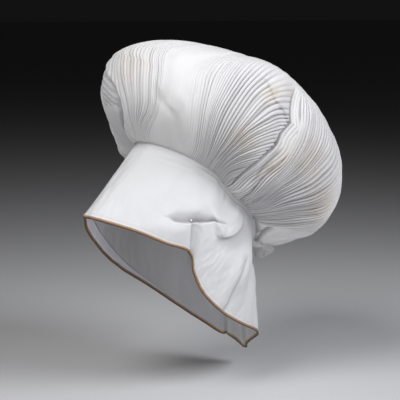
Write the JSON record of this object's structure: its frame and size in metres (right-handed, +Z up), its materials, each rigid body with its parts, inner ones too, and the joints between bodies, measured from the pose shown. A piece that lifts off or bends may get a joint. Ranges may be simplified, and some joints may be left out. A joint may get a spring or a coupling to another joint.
{
  "type": "pleated bonnet hat",
  "caption": "Large cloth sun bonnet: a pleated balloon crown on a smooth stiff brim that runs down into a neck curtain, with a braided edge and one side tucked up and pinned.",
  "frame": {"origin": "where the top of the wearer's head sits inside the bonnet, on its middle plane", "axes": "+X to the wearer's left, -Y forward, the way the wearer faces, +Z up"},
  "size_m": [0.3723, 0.4529, 0.544],
  "materials": {
    "pleated_cotton": "matt, finely pleated, lightly stained with age",
    "brim_cotton": "starched and smooth, matt",
    "facing_cotton": "matt",
    "brown_braid": "matt twisted yarn",
    "seam_cotton": "matt",
    "white_pin": "smooth bead",
    "ruffle_cotton": "matt"
  },
  "bodies": {
    "root": {"crown": "pleated_cotton", "brim": "brim_cotton", "brim_facing": "facing_cotton", "edge_braid": "brown_braid", "seam_binding": "seam_cotton", "tuck_pin": "white_pin", "nape_ruffle": "ruffle_cotton"}
  },
  "joints": []
}
